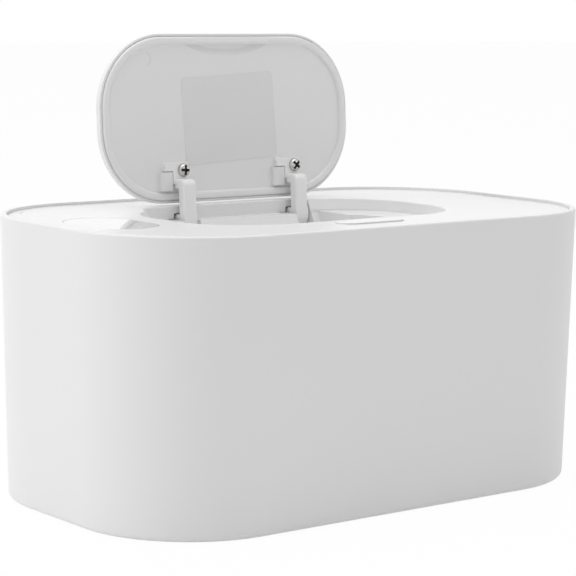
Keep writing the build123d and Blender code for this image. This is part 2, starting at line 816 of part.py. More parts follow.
def make_scoop_tool():
    """A shallow scoop: level with the cover along a chord, deepest at its sharp round edge."""
    curve = scoop_radius ** 2 / (2 * scoop_depth)
    tool = Cylinder(scoop_radius, 4 * scoop_depth)
    tool &= Pos(scoop_radius / 2, 0, 0) * Box(scoop_radius, 2 * scoop_radius, 4 * scoop_depth)
    tool -= Pos(0, 0, -curve) * Rot(90, 0, 0) * Cylinder(curve, 4 * scoop_radius)
    return Pos(scoop_x, scoop_y, cover_top) * Rot(0, 0, scoop_turn) * tool


def make_dispensing_insert():
    insert = prism(SlotOverall(insert_length + 2 * insert_flange, insert_width + 2 * insert_flange),
                   well_floor, well_floor + insert_flange_height)
    insert = fillet(edges_at(insert, well_floor + insert_flange_height), 0.6)
    insert += prism(SlotOverall(insert_length - layer_gap, insert_width - layer_gap),
                    well_bottom - insert_tail, well_floor)
    insert -= prism(SlotOverall(mouth_length + 6, mouth_width + 6), well_floor - 1.0,
                    well_floor + insert_flange_height)
    insert -= prism(SlotOverall(mouth_length, mouth_width), well_bottom - insert_tail, well_floor)
    return insert


def key_block(grow, top):
    """The touch key's outline, grown outwards, from its seat up to a height."""
    shape = Rot(0, 0, 90) * SlotOverall(key_length + 2 * grow, key_width + 2 * grow)
    return Pos(key_x, 0, 0) * prism(shape, cover_top - key_thickness, top)


def make_touch_key():
    key = key_block(0, cover_top)
    return fillet(edges_at(key, cover_top), 0.25)


def make_electronics_pan():
    mid_x = (pan_left + pan_right) / 2
    pan = block(pan_left, pan_right, -pan_half_width, pan_half_width, pan_bottom, cover_bottom)
    pan = fillet(pan.edges().filter_by(Axis.Z), 3.0)
    pan -= block(pan_left + pan_wall, pan_right - pan_wall, -pan_half_width + pan_wall,
                 pan_half_width - pan_wall, pan_bottom + pan_wall, cover_bottom)
    for side in (-1, 1):
        ear = rod(mid_x, side * (pan_half_width + pan_ear / 2), pan_ear / 2,
                  cover_bottom - pan_ear_thickness, cover_bottom)
        ear += block(mid_x - pan_ear / 2, mid_x + pan_ear / 2, side * (pan_half_width - pan_wall),
                     side * (pan_half_width + pan_ear / 2), cover_bottom - pan_ear_thickness, cover_bottom)
        pan += ear
        pan -= rod(mid_x, side * (pan_half_width + pan_ear / 2), pilot_radius + pilot_fit,
                   cover_bottom - pan_ear_thickness, cover_bottom)
    for x, y in board_posts():
        pan += rod(x, y, pan_post_radius, pan_bottom + pan_wall / 2, board_bottom)
        pan -= rod(x, y, display_screw_radius + pin_fit, board_bottom - display_pilot, board_bottom)
    return pan


def board_posts():
    edge = pan_wall + pan_post_radius + 0.4
    return [(x, y) for x in (pan_left + edge, pan_right - edge)
            for y in (-pan_half_width + edge, pan_half_width - edge)]


def make_display_board():
    edge = pan_wall + board_edge_gap
    board = block(pan_left + edge, pan_right - edge, -pan_half_width + edge, pan_half_width - edge,
                  board_bottom, board_top)
    for x, y in board_posts():
        board -= rod(x, y, display_hole_radius, board_bottom, board_top)
    return board


def make_board_fixings():
    screws = []
    for x, y in board_posts():
        screws.append(rod(x, y, display_head_radius, board_top, board_top + display_head_height)
                      + rod(x, y, display_screw_radius, board_bottom - display_bite, board_top))
    return together(screws)


def make_display_digits():
    """The lit display behind the key's window: a dark block on the board."""
    half_x, half_y = window_length / 2 - 1.2, window_width / 2 - 1.2
    return block(key_x - half_x, key_x + half_x, -half_y, half_y, board_top, board_top + digit_height)


def make_pan_screws():
    mid_x = (pan_left + pan_right) / 2
    screws = []
    for side in (-1, 1):
        y = side * (pan_half_width + pan_ear / 2)
        low = cover_bottom - pan_ear_thickness
        screws.append(rod(mid_x, y, pan_head_radius, low - pan_head_height, low)
                      + rod(mid_x, y, pilot_radius - pin_fit, low, cover_top - pilot_cover - pilot_tip_gap))
    return together(screws)


def make_cover_contact_block():
    left, right = contact_hole_ends()
    holder = block(left + 0.4, right, -contact_length / 2, contact_length / 2,
                   cover_bottom - cover_block_height, cover_bottom)
    for y in contact_ys:
        holder -= rod(contact_x, y, 0.7 + pin_fit, cover_bottom - cover_block_height, cover_bottom)
    return holder


def make_contact_pins():
    return together([rod(contact_x, y, 0.7, flange_top + 0.1 + contact_clear, cover_bottom)
                     for y in contact_ys])


def make_cover_ribbon():
    """A flat cable in a channel of the cover, from the contact pins down to the display board."""
    turn = pan_left + pan_wall + 1.2
    ribbon = block(contact_x - 1.5, turn, -contact_pitch - ribbon_side, contact_pitch + ribbon_side,
                   cover_bottom, cover_bottom + ribbon_thickness)
    ribbon += block(turn - ribbon_thickness, turn, -contact_pitch - ribbon_side, contact_pitch + ribbon_side,
                    board_top, cover_bottom + ribbon_thickness)
    return ribbon


# ---- push button ----
def make_lid_button():
    cap_top = cover_top + button_proud
    cap = prism(SlotOverall(button_length, button_width), button_flange_top, cap_top)
    cap = fillet(edges_at(cap, cap_top), 0.35)
    cap = Pos(0, button_y, 0) * cap
    cap -= block(-body_length, body_length, button_flange_rear, 0, cover_bottom - 3, cover_bottom + button_gap
                 + button_travel)
    half = button_length / 2 + button_edge
    cap += block(-half, half, button_flange_front, button_flange_rear, button_flange_bottom,
                 button_flange_top)
    latch_top = cover_top - latch_drop
    cap += block(-latch_width / 2, latch_width / 2, button_y, recess_front + lid_side_gap - latch_clear,
                 latch_top - latch_thickness, latch_top)
    return cap


def make_button_bracket():
    half = bracket_x + bracket_post / 2
    bracket = block(-half, half, button_flange_front - 0.6, button_flange_rear, bracket_bottom,
                    bracket_bottom + bracket_floor)
    for side in (-1, 1):
        bracket += block(side * (bracket_x - bracket_post / 2), side * half, button_flange_front - 0.6,
                         button_flange_rear, bracket_bottom, bracket_top)
        bracket -= rod(side * bracket_x, spring_y, pilot_radius + pilot_fit, bracket_bottom, bracket_top)
    return bracket


def make_bracket_screws():
    screws = []
    for side in (-1, 1):
        x = side * bracket_x
        head = rod(x, spring_y, bracket_head_radius, bracket_bottom - bracket_head_height, bracket_bottom)
        screws.append(head + rod(x, spring_y, pilot_radius - pin_fit, bracket_bottom,
                                 cover_top - pilot_cover - pilot_tip_gap))
    return together(screws)


def make_button_spring():
    low = bracket_bottom + bracket_floor + spring_wire
    high = button_flange_bottom - spring_wire
    height = high - low
    coil = Helix(pitch=height / spring_turns, height=height, radius=spring_radius)
    start = Plane(origin=coil @ 0, z_dir=coil % 0)
    return Pos(0, spring_y, low) * sweep(start * Circle(spring_wire / 2), path=coil, is_frenet=True)


# ---- hinge ----
def slot_sides(middle):
    """The left and right faces of the slot that a hinge's arm swings in."""
    x = middle + arm_offset
    return x - arm_width / 2 - slot_left_gap, x + arm_width / 2 + slot_right_gap


def make_hinge_pin(middle):
    left, right = slot_sides(middle)
    return rod_x(hinge_y, hinge_z, pin_radius, left - ear_width + pin_end_gap,
                 right + ear_width - pin_end_gap)


def make_hinge_arm(middle):
    """Foot plate on the lid, elbow, arm, and a barrel on the pin, drawn for the closed lid."""
    x = middle + arm_offset
    left, right = x - arm_width / 2, x + arm_width / 2
    outer = hinge_z - arm_drop
    elbow = hinge_y - arm_reach
    arm = block(left, right, elbow, hinge_y, outer, outer + arm_thickness)
    arm += block(left, right, elbow, elbow + arm_thickness, outer, foot_z)
    corner = [e for e in arm.edges().filter_by(Axis.X)
              if abs(e.center().Y - elbow) < 0.01 and abs(e.center().Z - outer) < 0.01]
    arm = fillet(corner, elbow_radius)
    rims = [e for e in arm.edges() if min(e.center().X - left, right - e.center().X) < 0.01
            and (e.center().Y < elbow + arm_round or e.center().Z < outer + arm_round)]
    arm = fillet(rims, arm_round)
    cam = rod_x(hinge_y, hinge_z, arm_drop, left, right)
    cam &= block(left, right, hinge_y, hinge_y + arm_drop, hinge_z - arm_drop, hinge_z)
    arm += cam + rod_x(hinge_y, hinge_z, barrel_radius, left, right)
    arm += block(left, right, hinge_y - barrel_radius, hinge_y, outer, hinge_z)
    arm -= rod_x(hinge_y, hinge_z, pin_radius + running_gap, left - 1, right + 1)
    foot = block(middle + clip_left + clip_width + foot_gap, middle + foot_right, foot_front, foot_rear,
                 foot_z, panel_z)
    foot += block(middle + foot_left, middle + foot_right, foot_front, clip_front - foot_gap, foot_z, panel_z)
    foot = fillet([e for e in foot.edges().filter_by(Axis.Z) if e.center().X > middle + foot_right - 0.01
                   or e.center().Y < foot_front + 0.01], foot_round)
    arm += foot
    arm -= rod(middle + lid_screw_offset, lid_screw_y, lid_screw_radius + running_gap, foot_z - 1,
               panel_z + 1)
    return opened(arm)


# ---- lid ----
def make_lid_outer():
    lid = lid_block(0, lid_rim_z, cover_top)
    lid = fillet(edges_at(lid, cover_top), lid_round)
    lid = fillet(edges_at(lid, lid_rim_z), lid_wall * 0.4)
    lid -= lid_block(lid_wall, lid_rim_z - 1, lid_skin_z)
    for middle in hinge_middles:
        lid -= rod(middle + lid_screw_offset, lid_screw_y, lid_screw_radius, lid_skin_z - 1,
                   panel_z + lid_screw_bite + 0.1)
    return opened(lid)


def make_lid_inner_panel():
    """A panel that fills the lid's tray: a groove and a rib all round, a dish at the front, two clips."""
    panel = lid_block(lid_wall + panel_fit, groove_z, lid_skin_z)
    panel += lid_block(rib_foot_inset, rib_z, groove_z)
    panel -= lid_block(panel_inset, rib_z, panel_z)
    panel = fillet(edges_at(panel, rib_z), rib_round)
    crest = lid_y - lid_width / 2 + panel_inset - rib_round
    reach, rise = 2 * rib_width, 2 * catch_drop
    wedge = Polyline((crest, rib_z), (crest - reach, rib_z + rise), (crest - reach, rib_z - 1),
                     (crest, rib_z - 1), close=True)
    panel -= Pos(catch_x - catch_length / 2, 0, 0) * extrude(Plane.YZ * make_face(wedge), catch_length)
    dish_y = lid_y - lid_width / 2 + panel_inset + dish_length - dish_radius
    dish = Pos(lid_x, dish_y, panel_z + dish_depth / 2) * Cone(dish_radius, dish_radius - dish_ramp,
                                                              dish_depth)
    panel -= dish & lid_block(panel_inset, panel_z - 1, panel_z + dish_depth)
    clip_top = panel_z - clip_height
    for middle in hinge_middles:
        left = middle + clip_left
        clip = block(left, left + clip_width, clip_front, clip_rear, clip_top, panel_z)
        corner = [e for e in clip.edges().filter_by(Axis.Y)
                  if e.center().X < left + 0.01 and e.center().Z < clip_top + 0.01]
        panel += fillet(corner, clip_round)
        panel -= rod(middle + lid_screw_offset, lid_screw_y, lid_screw_radius, panel_z - 1, lid_skin_z)
    return opened(panel)


def make_label_plate():
    face = Rot(0, 0, label_turn) * RectangleRounded(label_length, label_width, label_radius)
    return opened(extrude(Pos(label_x, label_y, panel_z - label_thickness) * face, label_thickness))


def make_lid_screws():
    screws = []
    for middle, turned in zip(hinge_middles, lid_screw_turns):
        x, y = middle + lid_screw_offset, lid_screw_y
        head_top = foot_z - lid_screw_head_height
        head = rod(x, y, lid_screw_head_radius, head_top, foot_z)
        head = fillet(edges_at(head, head_top), lid_screw_head_height * 0.55)
        for turn in (turned, turned + 90):
            head -= Pos(x, y, head_top) * Rot(0, 0, turn) * Box(cross_length, cross_width, 2 * cross_depth)
        screws.append(head + rod(x, y, lid_screw_radius, foot_z, panel_z + lid_screw_bite))
    return together([opened(screw) for screw in screws])


pieces = {
    "outer_shell": make_outer_shell(),
    "base_tray": make_base_tray(),
    "foot_pads": make_foot_pads(),
    "base_screws": make_base_screws(),
    "liner_tub": make_liner_tub(),
    "tub_gasket": make_tub_gasket(),
    "heater_band": make_heater_band(),
    "insulation_wrap": make_insulation_wrap(),
    "heat_plate": make_heat_plate(),
    "floor_heater": make_floor_heater(),
    "floor_foam": make_floor_foam(),
    "thermostat": make_thermostat(),
    "thermal_fuse": make_thermal_fuse(),
    "power_board": make_power_board(),
    "board_parts": make_board_parts(),
    "board_screws": make_board_screws(),
    "power_jack": make_power_jack(),
    "base_contact_block": make_base_contact_block(),
    "base_contacts": make_base_contacts(),
    "contact_leads": make_contact_leads(),
    "top_cover": make_top_cover(),
    "dispensing_insert": make_dispensing_insert(),
    "touch_key": make_touch_key(),
    "electronics_pan": make_electronics_pan(),
    "display_board": make_display_board(),
    "display_board_screws": make_board_fixings(),
    "display_digits": make_display_digits(),
    "pan_screws": make_pan_screws(),
    "cover_contact_block": make_cover_contact_block(),
    "contact_pins": make_contact_pins(),
    "cover_ribbon": make_cover_ribbon(),
    "lid_button": make_lid_button(),
    "button_bracket": make_button_bracket(),
    "bracket_screws": make_bracket_screws(),
    "button_spring": make_button_spring(),
    "hinge_pin_left": make_hinge_pin(hinge_middles[0]),
    "hinge_pin_right": make_hinge_pin(hinge_middles[1]),
    "hinge_arm_left": make_hinge_arm(hinge_middles[0]),
    "hinge_arm_right": make_hinge_arm(hinge_middles[1]),
    "lid_outer": make_lid_outer(),
    "lid_inner_panel": make_lid_inner_panel(),
    "label_plate": make_label_plate(),
    "lid_screws": make_lid_screws(),
}

os.makedirs("parts", exist_ok=True)
for name, piece in pieces.items():
    export_step(piece, f"parts/{name}.step")
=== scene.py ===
import math

import bmesh
import bpy
import numpy as np
from mathutils import Matrix, Vector


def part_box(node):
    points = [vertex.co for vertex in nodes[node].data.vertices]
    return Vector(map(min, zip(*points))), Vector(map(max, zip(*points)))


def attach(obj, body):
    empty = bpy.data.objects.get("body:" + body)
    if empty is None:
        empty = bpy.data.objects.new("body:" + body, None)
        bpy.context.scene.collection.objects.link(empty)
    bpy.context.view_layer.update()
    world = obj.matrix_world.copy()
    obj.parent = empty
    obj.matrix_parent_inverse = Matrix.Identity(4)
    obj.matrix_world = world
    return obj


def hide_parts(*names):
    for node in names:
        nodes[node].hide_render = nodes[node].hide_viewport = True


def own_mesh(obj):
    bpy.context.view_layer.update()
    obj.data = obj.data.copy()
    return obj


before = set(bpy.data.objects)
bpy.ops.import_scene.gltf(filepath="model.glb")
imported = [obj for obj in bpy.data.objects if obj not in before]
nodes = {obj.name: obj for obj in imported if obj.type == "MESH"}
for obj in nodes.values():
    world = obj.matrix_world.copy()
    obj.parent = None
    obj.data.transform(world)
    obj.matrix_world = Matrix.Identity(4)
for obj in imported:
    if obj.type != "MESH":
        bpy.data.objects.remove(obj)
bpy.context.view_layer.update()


# ---- Camera ----
# A long lens stands in front of the left end and a little above the lid, and looks down along the cover.
# Its place was solved from the outline of the box in the photograph.

camera_place = Vector((-0.50708, -0.64330, 0.18639))
camera_yaw, camera_pitch, camera_roll = 0.664127, 0.134775, 0.012539

look = Vector((math.sin(camera_yaw) * math.cos(camera_pitch),
               math.cos(camera_yaw) * math.cos(camera_pitch), -math.sin(camera_pitch)))
level = Vector((math.cos(camera_yaw), -math.sin(camera_yaw), 0))
upright = level.cross(look)
right = level * math.cos(camera_roll) + upright * math.sin(camera_roll)
up = upright * math.cos(camera_roll) - level * math.sin(camera_roll)
turned = Matrix((right, up, -look)).transposed().to_4x4()
lens = bpy.data.cameras.new("camera")
lens.sensor_width = 36.0
lens.lens = 136.02
lens.clip_start, lens.clip_end = 0.02, 20.0
camera = bpy.data.objects.new("camera", lens)
camera.matrix_world = Matrix.Translation(camera_place) @ turned
bpy.context.scene.collection.objects.link(camera)
bpy.context.scene.camera = camera


# ---- Studio: floor, white surround and soft lights ----
# The box stands on a flat white floor under large soft lights, the largest overhead and one beyond its left end.
# The camera and mirror-like surfaces see the surround as plain white; the floor keeps the box's soft shadow.


class Wire:
    """One output of a material's node. Sums written with it add the Math nodes that work them out."""

    def __init__(self, finish, socket):
        self.finish, self.socket = finish, socket

    def sum_of(self, operation, *values):
        return self.finish.node("ShaderNodeMath", {"operation": operation}, dict(enumerate(values)))

    def __add__(self, other):
        return self.sum_of("ADD", self, other)

    def __radd__(self, other):
        return self.sum_of("ADD", other, self)

    def __sub__(self, other):
        return self.sum_of("SUBTRACT", self, other)

    def __rsub__(self, other):
        return self.sum_of("SUBTRACT", other, self)

    def __mul__(self, other):
        return self.sum_of("MULTIPLY", self, other)

    def __rmul__(self, other):
        return self.sum_of("MULTIPLY", other, self)

    def __truediv__(self, other):
        return self.sum_of("DIVIDE", self, other)

    def __rtruediv__(self, other):
        return self.sum_of("DIVIDE", other, self)

    def __pow__(self, other):
        return self.sum_of("POWER", self, other)

    def __lt__(self, other):
        return self.sum_of("LESS_THAN", self, other)


class Finish:
    """A material under construction: its nodes, and the ways in which this part's finishes join them."""

    def __init__(self, name, tree=None):
        if tree is None:
            self.material = bpy.data.materials.new(name)
            self.material.use_nodes = True
            tree = self.material.node_tree
        self.tree = tree
        self.tree.nodes.clear()

    def node(self, kind, settings=None, sockets=None, output=0):
        """Adds a node, makes its settings, then fills its sockets with numbers, colours or wires."""
        made = self.tree.nodes.new(kind)
        for key, value in (settings or {}).items():
            if key == "stops":
                ramp = made.color_ramp.elements
                for i, (place, shade) in enumerate(value):
                    stop = ramp[i] if i < len(ramp) else ramp.new(place)
                    stop.position, stop.color = place, shade
            else:
                setattr(made, key, value)
        for key, value in (sockets or {}).items():
            if isinstance(value, Wire):
                self.tree.links.new(value.socket, made.inputs[key])
            else:
                made.inputs[key].default_value = value
        return Wire(self, made.outputs[output]) if made.outputs else None

    def place(self):
        """Where a point is on the part, in metres."""
        return self.node("ShaderNodeTexCoord", output="Object")

    def along(self, axis):
        """One coordinate of the point, in metres."""
        return self.node("ShaderNodeSeparateXYZ", None, {0: self.place()}, axis)

    def noise(self, size, detail=2.0, roughness=0.5, at=None):
        """Soft irregular values from 0 to 1, with patches about size metres across."""
        return self.node("ShaderNodeTexNoise", None,
                         {"Vector": at or self.place(), "Scale": 1.0 / size, "Detail": detail,
                          "Roughness": roughness})

    def shades(self, low, high, share):
        """A colour between two others, by a value from 0 to 1."""
        return self.node("ShaderNodeMix", {"data_type": "RGBA"}, {0: share, 6: low, 7: high}, 2)

    def bump(self, height, depth, strength=1.0, under=None):
        """A surface normal tilted by a height from 0 to 1 that stands for depth metres."""
        sockets = {"Strength": strength, "Distance": depth, "Height": height}
        if under is not None:
            sockets["Normal"] = under
        return self.node("ShaderNodeBump", None, sockets)

    def surface(self, **sockets):
        """The surface shader that takes all of it, joined to the material's output."""
        names = {key.replace("_", " "): value for key, value in sockets.items()}
        shader = self.node("ShaderNodeBsdfPrincipled", None, names)
        self.node("ShaderNodeOutputMaterial", None, {"Surface": shader})
        return self.material


def grey(value, warmth=0.0):
    """A near-neutral colour from its brightness on a 0 to 255 scale; warmth tips it to cream."""
    linear = [((value - step) / 255.0 + 0.055) / 1.055 for step in (0.0, 0.4 * warmth, warmth)]
    return tuple(c ** 2.4 for c in linear) + (1.0,)


floor_half, floor_glow, room_light = 6.0, 0.97, 0.46
floor_mesh = bpy.data.meshes.new("studio_floor")
floor_mesh.from_pydata([(-floor_half, -floor_half, 0), (floor_half, -floor_half, 0),
                        (floor_half, floor_half, 0), (-floor_half, floor_half, 0)], [], [(0, 1, 2, 3)])
studio_floor = bpy.data.objects.new("studio_floor", floor_mesh)
bpy.context.scene.collection.objects.link(studio_floor)

paper = Finish("studio_paper")
seen = paper.node("ShaderNodeLightPath", output="Is Camera Ray")
mirrored = paper.node("ShaderNodeLightPath", output="Is Glossy Ray")
glow = paper.node("ShaderNodeEmission", None, {"Color": (1, 1, 1, 1), "Strength": 1.0})
matte = paper.node("ShaderNodeBsdfDiffuse", None, {"Color": (0.94, 0.94, 0.94, 1)})
share = seen.sum_of("MAXIMUM", seen, mirrored) * floor_glow
paper.node("ShaderNodeOutputMaterial", None,
           {"Surface": paper.node("ShaderNodeMixShader", None, {0: share, 1: matte, 2: glow})})
floor_mesh.materials.append(paper.material)

world = bpy.data.worlds.new("surround")
world.use_nodes = True
bpy.context.scene.world = world
surround = Finish("surround", world.node_tree)
seen = surround.node("ShaderNodeLightPath", output="Is Camera Ray")
mirrored = surround.node("ShaderNodeLightPath", output="Is Glossy Ray")
passed = surround.node("ShaderNodeLightPath", output="Is Transmission Ray")
white = surround.node("ShaderNodeBackground", None, {"Color": (1, 1, 1, 1), "Strength": 1.0})
dim = surround.node("ShaderNodeBackground", None, {"Color": (1, 1, 1, 1), "Strength": room_light})
share = seen.sum_of("MAXIMUM", seen, mirrored.sum_of("MAXIMUM", mirrored, passed))
surround.node("ShaderNodeOutputWorld", None,
              {"Surface": surround.node("ShaderNodeMixShader", None, {0: share, 1: dim, 2: white})})


def soft_light(name, place, aim, size, power):
    """A square soft light of the given size in metres and power in watts, turned to face a point."""
    lamp = bpy.data.lights.new(name, "AREA")
    lamp.size, lamp.energy = size, power
    lamp.shape = "SQUARE"
    holder = bpy.data.objects.new(name, lamp)
    holder.location = place
    holder.rotation_euler = (Vector(aim) - Vector(place)).to_track_quat("-Z", "Y").to_euler()
    bpy.context.scene.collection.objects.link(holder)


box_top = (0, 0, 0.1)
soft_light("overhead_light", (-0.1, 0.1, 1.6), box_top, size=1.6, power=14.5)
soft_light("left_light", (-1.6, 0.75, 0.7), box_top, size=1.0, power=8.5)
soft_light("right_fill", (1.4, -1.5, 0.8), box_top, size=1.0, power=2.0)

bpy.context.scene.view_settings.view_transform = "Standard"


# ---- Outer shell ----
# The tall wall of the box: one injection moulding in white ABS, drawn in towards the base, with a fine
# satin texture etched into its mould. The cover, the tank and the base tray all fasten to it.


def moulded(name, shade, gloss, texture, cloud=0.012, peel=0.000003, uneven=1.0):
    """White moulded plastic: broad clouds of shade, a slightly uneven gloss, and the mould's etched texture.
    Texture and peel are the depths in metres of the etching and of the skin's slow waves."""
    finish = Finish(name)
    cloud_size, touched_size, etched_size, wave_size = 0.060, 0.011, 0.00035, 0.0045
    broad = finish.noise(cloud_size, 3.0, 0.45)
    handled = finish.noise(touched_size, 4.0, 0.6)
    etched = finish.noise(etched_size, 3.0, 0.7)
    orange_peel = finish.noise(wave_size, 1.0, 0.4)
    dark = tuple(c * (1.0 - 2.2 * cloud) for c in shade[:3]) + (1.0,)
    colour = finish.shades(dark, shade, broad)
    roughness = gloss + (handled - 0.5) * (0.10 * uneven) + (etched - 0.5) * (0.05 * uneven)
    soft = finish.bump(orange_peel, peel, 0.5)
    normal = finish.bump(etched, texture, 0.6, soft)
    return finish.surface(Base_Color=colour, Roughness=roughness, Normal=normal, IOR=1.49)


def dress(material, *names):
    """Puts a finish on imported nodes, in every one of their material slots."""
    for name in names:
        for holder in nodes[name].material_slots:
            holder.material = material


shell_white = grey(238, 0.2)
dress(moulded("shell_plastic", shell_white, 0.40, 0.000010), "outer_shell")


# ---- Base tray, its screws and its feet ----
# A flat white tray closes the shell from below. Six self-tapping screws run up into the shell's bosses,
# and four grey rubber pads are glued into round seats, so the box stands clear of the table.

dress(moulded("tray_plastic", grey(226, 1.0), 0.48, 0.000014), "base_tray")


def drawn_metal(name, shade, roughness, line=0.0002):
    """Bright metal: fine lines left by turning or drawing, and dull clouds where the plating is thin."""
    finish = Finish(name)
    dull = finish.noise(0.0016, 3.0, 0.6)
    lines = finish.node("ShaderNodeTexWave", {"wave_type": "RINGS", "rings_direction": "Z"},
                        {"Vector": finish.place(), "Scale": 0.05 / line, "Distortion": 2.0, "Detail": 2.0})
    colour = finish.shades(tuple(c * 0.82 for c in shade[:3]) + (1.0,), shade, dull)
    return finish.surface(Base_Color=colour, Metallic=1.0, Roughness=roughness + (dull - 0.5) * 0.12,
                          Normal=finish.bump(lines, 0.000004, 0.3))


dress(drawn_metal("zinc_screw", (0.56, 0.57, 0.58, 1.0), 0.30), "base_screws", "board_screws", "pan_screws",
      "display_board_screws", "bracket_screws", "thermostat")


def soft_moulding(name, shade, roughness, bloom=0.10):
    """Silicone or rubber: matte, faintly dusty where bloom lies on it, with a soft fine grain."""
    finish = Finish(name)
    dust = finish.noise(0.0035, 4.0, 0.65)
    grain = finish.noise(0.0005, 2.0, 0.6)
    pale = tuple(min(1.0, c * (1.0 + bloom)) for c in shade[:3]) + (1.0,)
    return finish.surface(Base_Color=finish.shades(shade, pale, dust), Roughness=roughness + (dust - 0.5) * 0.1,
                          Normal=finish.bump(grain, 0.00002, 0.5), IOR=1.42)


dress(soft_moulding("foot_rubber", grey(150), 0.78), "foot_pads")


# ---- Wipes tank and its seal ----
# The tank is a deep white polypropylene tub that hangs by its flange on a ring inside the shell. A soft
# white gasket lies on the flange, and the cover closes on it to keep the wipes moist.

dress(moulded("tank_plastic", grey(224, 1.5), 0.36, 0.000016, 0.02), "liner_tub")
dress(soft_moulding("seal_silicone", grey(222), 0.62), "tub_gasket", "dispensing_insert")


# ---- Heater and insulation ----
# Amber film heaters with etched foil tracks wrap the tank and lie under its floor, behind a thin aluminium
# plate. Grey closed-cell foam keeps the warmth in; a thermostat and a thermal fuse guard the floor heater.


def track_film(name, axis, pitch):
    """Amber film over foil tracks: bands across one axis, with a thin clear line between neighbours."""
    finish = Finish(name)
    wander = finish.noise(0.02, 2.0, 0.5) * (0.12 * pitch)
    place = (finish.along(axis) + wander) / pitch
    band = place.sum_of("PINGPONG", place, 1.0)
    track = band.sum_of("SMOOTH_MIN", band * 3.0, 1.0, 0.2)
    colour = finish.shades((0.33, 0.16, 0.035, 1.0), (0.52, 0.42, 0.27, 1.0), track)
    return finish.surface(Base_Color=colour, Metallic=0.35, Roughness=0.42 - track * 0.14,
                          Normal=finish.bump(track, 0.00005, 0.6))


dress(track_film("band_heater_film", 2, 0.0052), "heater_band")
dress(track_film("floor_heater_film", 1, 0.0060), "floor_heater")


def closed_cell(name, shade, cell):
    """Closed-cell foam: small rounded cells with pits between them; the colour darkens towards the pits as painted
    shade.
    """
    finish = Finish(name)
    cells = finish.node("ShaderNodeTexVoronoi", {"feature": "F1"},
                        {"Vector": finish.place(), "Scale": 1.0 / cell, "Randomness": 0.9}, 0)
    pits = cells * 1.3
    # painted shade: the colour darkens from each cell's middle towards the pits
    dark = tuple(c * 0.62 for c in shade[:3]) + (1.0,)
    return finish.surface(Base_Color=finish.shades(shade, dark, pits), Roughness=0.9,
                          Normal=finish.bump(1.0 - pits, 0.00022, 0.8))


dress(closed_cell("insulating_foam", grey(158, 3.0), 0.0011), "insulation_wrap", "floor_foam")
dress(drawn_metal("mill_aluminium", (0.70, 0.71, 0.72, 1.0), 0.38, 0.0004), "heat_plate", "thermal_fuse")


# ---- Power board, adapter jack and the leads up to the cover ----
# A small board in the base takes the adapter's plug at the rear wall. Three white leads run from it to
# sprung contacts under the cover's left end, so the cover lifts off with nothing to unplug.


def circuit(name):
    """Glass-fibre board: green solder mask, copper runs that show paler through it, and tinned dots."""
    finish = Finish(name)
    runs = finish.node("ShaderNodeTexBrick", {"offset": 0.5},
                       {"Vector": finish.place(), "Color1": (1, 1, 1, 1), "Color2": (0.7, 0.7, 0.7, 1),
                        "Mortar": (0, 0, 0, 1), "Scale": 260.0, "Mortar Size": 0.06}, 1)
    dots = finish.node("ShaderNodeTexVoronoi", {"feature": "F1"},
                       {"Vector": finish.place(), "Scale": 420.0, "Randomness": 0.35}, 0)
    tinned = dots < 0.16
    mask = finish.shades((0.012, 0.10, 0.035, 1.0), (0.03, 0.19, 0.07, 1.0), runs)
    return finish.surface(Base_Color=finish.shades(mask, (0.62, 0.62, 0.60, 1.0), tinned), Metallic=tinned * 0.9,
                          Roughness=0.34 - tinned * 0.10, Normal=finish.bump(runs, 0.00004, 0.5))


dress(circuit("solder_mask"), "power_board", "display_board")
dress(moulded("black_housing", (0.018, 0.018, 0.019, 1.0), 0.42, 0.00001, 0.1), "power_jack", "display_digits")
dress(moulded("sleeved_can", (0.06, 0.06, 0.075, 1.0), 0.34, 0.000008, 0.1), "board_parts")
dress(moulded("contact_holder", grey(222, 1.0), 0.5, 0.00001), "base_contact_block", "cover_contact_block",
      "button_bracket", "electronics_pan")
dress(drawn_metal("gilt_contact", (0.80, 0.58, 0.24, 1.0), 0.22), "base_contacts", "contact_pins")
dress(soft_moulding("wire_sleeve", grey(206), 0.5, 0.05), "contact_leads")
dress(soft_moulding("ribbon_sleeve", grey(165), 0.55, 0.05), "cover_ribbon")


# ---- Top cover ----
# The cover is a second white moulding, satin rather than matte, dropped a millimetre inside the shell's rim.
# It carries the lid's recess, the deeper dispensing well, the hinge pocket, the key's seat and the scoop.

cover_plastic = moulded("cover_plastic", grey(238, 0.1), 0.26, texture=0.0000002, cloud=0.008,
                        peel=0.0000001, uneven=0.1)
dress(cover_plastic, "top_cover", "lid_button")


# ---- Touch key ----
# An oval plate of clear-coated white acrylic lies flush in its seat. It is the one mirror-bright piece of
# the cover and hides the display behind it; its polished face still shows a few fine wiping marks.

gloss_key = Finish("polished_key")
wiped = gloss_key.node("ShaderNodeMapping", None, {"Vector": gloss_key.place(), "Scale": (3.0, 0.12, 1.0)})
streaks = gloss_key.noise(0.0016, 3.0, 0.6, wiped)
milky = gloss_key.noise(0.02, 2.0, 0.5)
dress(gloss_key.surface(
    Base_Color=gloss_key.shades(grey(229), grey(233), milky), Roughness=0.030 + streaks * 0.035,
    Coat_Weight=1.0, Coat_Roughness=0.02, Normal=gloss_key.bump(streaks, 0.0000006, 0.2), IOR=1.5), "touch_key")


# ---- Push button and its spring ----
# The narrow button in front of the lid is moulded with the cover's plastic. It slides down 1.5 mm against
# a small steel coil in a bracket under the cover, which draws its tongue away from the lid's edge.

spring_steel = drawn_metal("spring_steel", (0.50, 0.50, 0.51, 1.0), 0.26, 0.0001)
wire_radius, coil_turns, press_travel = 0.00025, 4, 0.0015
steps_per_turn, steps_round_wire = 40, 14


